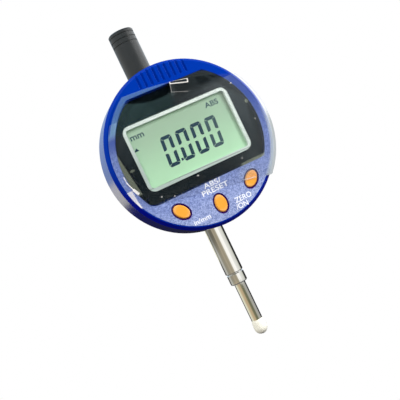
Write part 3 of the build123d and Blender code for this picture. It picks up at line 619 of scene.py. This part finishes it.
def display_print(name, outlines, material):
    """Flat shapes, given by face coordinates, that stand a hair proud of the display cell."""
    points = []
    faces = []
    for outline in outlines:
        front = len(points)
        back = front + len(outline)
        points += [on_face(x, z, CELL_FRONT - PRINT_THICKNESS) for x, z in outline]
        points += [on_face(x, z, CELL_FRONT) for x, z in outline]
        faces.append(list(range(front, back)))
        for i in range(len(outline)):
            j = (i + 1) % len(outline)
            faces.append([front + j, front + i, back + i, back + j])
    printed_piece(name, points, faces, material)


def mesh_of(curve):
    """The mesh that a text or a curve with a bevel makes."""
    maker = add_object(curve.name, curve)
    bpy.context.view_layer.update()
    mesh = bpy.data.meshes.new_from_object(maker)
    bpy.data.objects.remove(maker)
    return mesh


def lettering(name, lines, depth, material, weight):
    """Words on a surface; each line is (words, left, right, foot, height) in face coordinates."""
    points = []
    faces = []
    for words, left, right, foot, height in lines:
        curve = bpy.data.curves.new(name, "FONT")
        curve.body = words
        curve.offset = weight
        flat = mesh_of(curve)
        xs = [v.co.x for v in flat.vertices]
        ys = [v.co.y for v in flat.vertices]
        wide = (right - left) / (max(xs) - min(xs))
        tall = height / (max(ys) - min(ys))
        faces += [[len(points) + i for i in p.vertices] for p in flat.polygons]
        points += [on_face(left + (x - min(xs)) * wide, foot + (y - min(ys)) * tall,
                           depth - PRINT_THICKNESS) for x, y in zip(xs, ys)]
    printed_piece(name, points, faces, material)


DIGIT_WIDTH = 4.95
DIGIT_HEIGHT = 12.7
DIGIT_STROKE = 1.45
DIGIT_CORNER = 0.75           # cut off the digit's outer corners
DIGIT_LEAN = 5
DIGIT_PITCH = 6.77
FIRST_DIGIT_X = -8.6
DIGIT_Z = 0.85                # middle of the digits
SEGMENT_GAP = 0.1             # between a level and an upright bar, at the outside
SEGMENT_SLIT = 0.04           # and at the inside
SHOULDER_NICK = 0.3           # off an upright bar's outer corner
MIDDLE_GAP = 0.6              # from the digit's middle to its upright bars
BAR_END_WIDTH = 0.87          # of the square part of an upright bar's inner end
BAR_END_SLANT = 0.5           # height of the slanted part
DECIMAL_POINT = [(-6.0, -4.75), (-5.05, -4.75), (-4.97, -3.7), (-5.92, -3.7)]
POINTER = [(-22.3, 5.8), (-20.0, 5.8), (-20.9, 7.2)]
UNIT_AND_MODE = [
    ("mm", -21.4, -15.5, 10.3, 1.8),
    ("ABS", 12.7, 18.9, 10.6, 2.3),
]
LEGENDS = [
    ("ABS/", -3.7, 4.1, -19.0, 2.1),
    ("PRESET", -5.5, 6.3, -21.5, 2.1),
    ("ZERO", 5.7, 13.3, -29.4, 2.2),
    ("/ON", 5.0, 10.4, -32.0, 2.2),
    ("in/mm", -13.6, -6.2, -30.3, 2.0),
]


def nought(x):
    """The six lit bars of a nought, centred on a point of the display."""
    side = DIGIT_WIDTH / 2
    top = DIGIT_HEIGHT / 2
    shoulder = top - DIGIT_CORNER
    inner_side = side - DIGIT_STROKE
    inner_top = top - DIGIT_STROKE
    upright = [
        (-side, MIDDLE_GAP),
        (-side + BAR_END_WIDTH, MIDDLE_GAP),
        (-inner_side, MIDDLE_GAP + BAR_END_SLANT),
        (-inner_side, inner_top - SEGMENT_SLIT),
        (-side + SEGMENT_SLIT, shoulder - SEGMENT_GAP),
        (-side, shoulder - SEGMENT_GAP - SHOULDER_NICK),
    ]
    level = [
        (-side + DIGIT_CORNER, top),
        (side - DIGIT_CORNER, top),
        (side - SEGMENT_GAP, shoulder + SEGMENT_GAP),
        (inner_side - SEGMENT_SLIT, inner_top),
        (-inner_side + SEGMENT_SLIT, inner_top),
        (-side + SEGMENT_GAP, shoulder + SEGMENT_GAP),
    ]
    opposite = [(-px, pz) for px, pz in upright]
    upper = [upright, opposite, level]
    bars = upper + [[(px, -pz) for px, pz in bar] for bar in upper]
    lean = tan(radians(DIGIT_LEAN))
    return [[(x + px + pz * lean, DIGIT_Z + pz) for px, pz in bar] for bar in bars]


noughts = [nought(FIRST_DIGIT_X + i * DIGIT_PITCH) for i in range(4)]
display_print("display_digits", noughts[0] + noughts[1] + noughts[2] + [DECIMAL_POINT], "display_ink")
display_print("display_last_digit", noughts[3], "faint_ink")
display_print("display_pointer", [POINTER], "display_ink")
lettering("display_words", UNIT_AND_MODE, CELL_FRONT, "faint_ink", 0.02)
lettering("button_legends", LEGENDS, LABEL_FRONT, "white_print", 0.015)


# Return spring

SPRING_WIRE_RADIUS = 0.3
SPRING_TURNS = 9
STEPS_PER_TURN = 24


def spring_piece():
    """The coil, drawn at its length at rest and carried with the case."""
    low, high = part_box("return_spring")
    wire = SPRING_WIRE_RADIUS * MM
    steps = SPRING_TURNS * STEPS_PER_TURN
    curve = bpy.data.curves.new("spring_coil", "CURVE")
    curve.dimensions = "3D"
    curve.bevel_depth = wire
    curve.bevel_resolution = 3
    spline = curve.splines.new("POLY")
    spline.points.add(steps)
    radius = high.x - wire
    for i, knot in enumerate(spline.points):
        angle = 2 * pi * SPRING_TURNS * i / steps
        height = low.z + wire + (high.z - low.z - 2 * wire) * i / steps
        knot.co = (radius * cos(angle), radius * sin(angle), height, 1)
    mesh = mesh_of(curve)
    for face in mesh.polygons:
        face.use_smooth = True
    mesh.materials.clear()
    mesh.materials.append(MATERIALS["spring_steel"])
    piece = add_object("spring_coil", mesh)
    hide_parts("return_spring")
    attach(piece, "case")
    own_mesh(piece)


spring_piece()


# Floor, studio and camera

FLOOR_HALF = 3000
FLOOR_DROP = 20               # below the lowest point of the indicator


def floor():
    """White to the camera, pale grey to all other light."""
    s = new_shader("floor")
    seen = s.add("LightPath").outputs["Is Camera Ray"]
    paint = s.add("BsdfDiffuse", {"Color": (0.8, 0.8, 0.8)})
    glow = s.add("Emission", {"Color": (1, 1, 1), "Strength": 1.0})
    s.finish(s.blend(seen, paint, glow))
    half = FLOOR_HALF * MM
    level = cad_box[0][2] - FLOOR_DROP * MM
    corners = [(x, y, level) for x, y in ((-half, -half), (half, -half), (half, half), (-half, half))]
    mesh = bpy.data.meshes.new("floor")
    mesh.from_pydata(corners, [], [(0, 1, 2, 3)])
    mesh.materials.append(MATERIALS["floor"])
    piece = add_object("floor", mesh)
    piece.visible_glossy = False
    piece.visible_diffuse = False


# Light round the room, as (degrees from the front towards +X, colour): table height, which the
# spindle mirrors, low down, where the stem does, and higher up, where the dust cap does
TABLE_BANDS = [
    (-180, (0.03, 0.03, 0.03)),
    (-148, (0.03, 0.03, 0.03)),
    (-137, (0.6, 0.6, 0.52)),
    (-118, (1.0, 0.98, 0.78)),
    (-92, (0.82, 0.78, 0.56)),
    (-72, (0.68, 0.53, 0.33)),
    (-34, (0.6, 0.46, 0.28)),
    (-24, (0.3, 0.28, 0.16)),
    (0, (0.17, 0.17, 0.1)),
    (18, (0.24, 0.24, 0.17)),
    (34, (0.5, 0.49, 0.42)),
    (60, (0.5, 0.49, 0.44)),
    (82, (0.42, 0.42, 0.4)),
    (96, (0.03, 0.03, 0.03)),
    (180, (0.03, 0.03, 0.03)),
]
LOW_BANDS = [
    (-180, (0.03, 0.03, 0.03)),
    (-148, (0.04, 0.04, 0.04)),
    (-137, (0.5, 0.5, 0.47)),
    (-108, (0.6, 0.59, 0.52)),
    (-100, (0.36, 0.34, 0.28)),
    (-70, (0.37, 0.33, 0.24)),
    (-52, (0.48, 0.42, 0.31)),
    (-34, (0.4, 0.35, 0.25)),
    (-14, (0.5, 0.45, 0.34)),
    (-5, (1.2, 1.17, 1.1)),
    (25, (1.28, 1.26, 1.2)),
    (36, (1.0, 0.99, 0.95)),
    (80, (0.76, 0.77, 0.68)),
    (94, (0.03, 0.03, 0.03)),
    (180, (0.03, 0.03, 0.03)),
]
HIGH_BANDS = [
    (-180, (0.52, 0.66, 0.78)),
    (-160, (0.52, 0.66, 0.78)),
    (-140, (0.9, 0.92, 0.9)),
    (-100, (0.8, 0.8, 0.77)),
    (-50, (0.34, 0.35, 0.35)),
    (-10, (0.08, 0.09, 0.09)),
    (30, (0.05, 0.06, 0.06)),
    (56, (2.0, 2.02, 2.05)),
    (112, (2.0, 2.02, 2.05)),
    (140, (1.0, 1.2, 1.4)),
    (180, (0.52, 0.66, 0.78)),
]


def room_bands(s, azimuth, bands):
    """Colour round the room, blended from one band to the next."""
    ramp = s.add("ValToRGB", {0: s.slope(azimuth, 1 / 360, 0.5)})
    elements = ramp.color_ramp.elements
    elements.remove(elements[-1])
    for i, (angle, colour) in enumerate(bands):
        position = (angle + 180) / 360
        element = elements[0] if i == 0 else elements.new(position)
        element.position = position
        element.color = (*colour, 1)
    return ramp.outputs[0]


def world():
    """White to the camera; for everything else a room of upright light and dark panels.

    Height is the upward part of a direction of length 1, so 0 is level and 1 straight up.
    """
    owner = bpy.data.worlds.new("studio")
    bpy.context.scene.world = owner
    s = Shader(owner)
    direction = s.add("SeparateXYZ", {0: s.add("TexCoord").outputs["Generated"]}).outputs
    height = direction["Z"]
    towards_x = s.math("ARCTAN2", direction["X"], s.product(direction["Y"], -1.0))
    azimuth = s.product(towards_x, degrees(1))
    rays = s.add("LightPath").outputs

    # Shade under the head, and a pale panel behind, which the head's side wall mirrors
    under_head = s.product(s.rise(height, -0.085, -0.05), s.band(azimuth, -151.2, -61.2, 10.8))
    panel = s.product(s.rise(height, -0.1, -0.08), s.band(azimuth, -176, -158, 2.9))
    mirrored_ceiling = s.mix(s.rise(azimuth, -18, 36), (0.5, 0.75, 0.95), (0.1, 0.17, 0.24))
    ceiling = s.mix(rays["Is Glossy Ray"], (0.85, 0.86, 0.88), mirrored_ceiling)
    layers = [
        (s.product(under_head, 0.6), (0.06, 0.06, 0.05)),
        (s.rise(height, -0.126, -0.131), room_bands(s, azimuth, TABLE_BANDS)),
        (panel, (1.35, 1.32, 0.98)),
        (s.rise(height, 0.03, 0.09), room_bands(s, azimuth, HIGH_BANDS)),
        (s.rise(height, 0.3, 0.45), ceiling),
        (s.rise(height, -0.3, -0.5), (0.12, 0.12, 0.14)),
        (rays["Is Camera Ray"], (1, 1, 1)),
    ]
    colour = room_bands(s, azimuth, LOW_BANDS)
    for share, layer in layers:
        colour = s.mix(share, colour, layer)
    s.finish(s.add("Background", {"Color": colour, "Strength": 1.0}))


def outward(azimuth, elevation):
    """Unit direction; azimuth is from the front towards +X."""
    a = radians(azimuth)
    e = radians(elevation)
    return Vector((sin(a) * cos(e), -cos(a) * cos(e), sin(e)))


def area_light(name, azimuth, elevation, distance, size, power):
    """A square panel that faces the head and isn't mirrored."""
    away = outward(azimuth, elevation)
    light = bpy.data.lights.new(name, "AREA")
    light.size = size * MM
    light.energy = power
    lamp = add_object(name, light)
    lamp.location = FACE_CENTRE + away * distance * MM
    lamp.rotation_euler = away.to_track_quat("Z", "Y").to_euler()
    lamp.visible_glossy = False


CAMERA_AZIMUTH = -17.018
CAMERA_ELEVATION = -0.212
CAMERA_ROLL = -25.626
CAMERA_DISTANCE = 271.575
CAMERA_AIM = (-7.293, -21.956)
CAMERA_LENS = 61.995
CAMERA_SENSOR = 36.0
CAMERA_CLIP = 10


def camera():
    """The photo's view; it aims at a point of the face's plane."""
    back = outward(CAMERA_AZIMUTH, CAMERA_ELEVATION)
    level = (-back).cross(UP).normalized()
    upright = level.cross(-back)
    roll = radians(CAMERA_ROLL)
    right = level * cos(roll) + upright * sin(roll)
    up = upright * cos(roll) - level * sin(roll)
    turn = Matrix((right, up, back)).transposed().to_4x4()
    place = on_face(*CAMERA_AIM) + back * CAMERA_DISTANCE * MM
    data = bpy.data.cameras.new("camera")
    data.lens = CAMERA_LENS
    data.sensor_width = CAMERA_SENSOR
    data.clip_start = CAMERA_CLIP * MM
    seat = add_object("camera", data)
    seat.matrix_world = Matrix.Translation(place) @ turn
    bpy.context.scene.camera = seat


floor()
world()
area_light("key", 55, 18, 500, 250, 2.4)
area_light("fill", -40, 30, 700, 500, 3.0)
camera()
bpy.context.scene.view_settings.view_transform = "Standard"
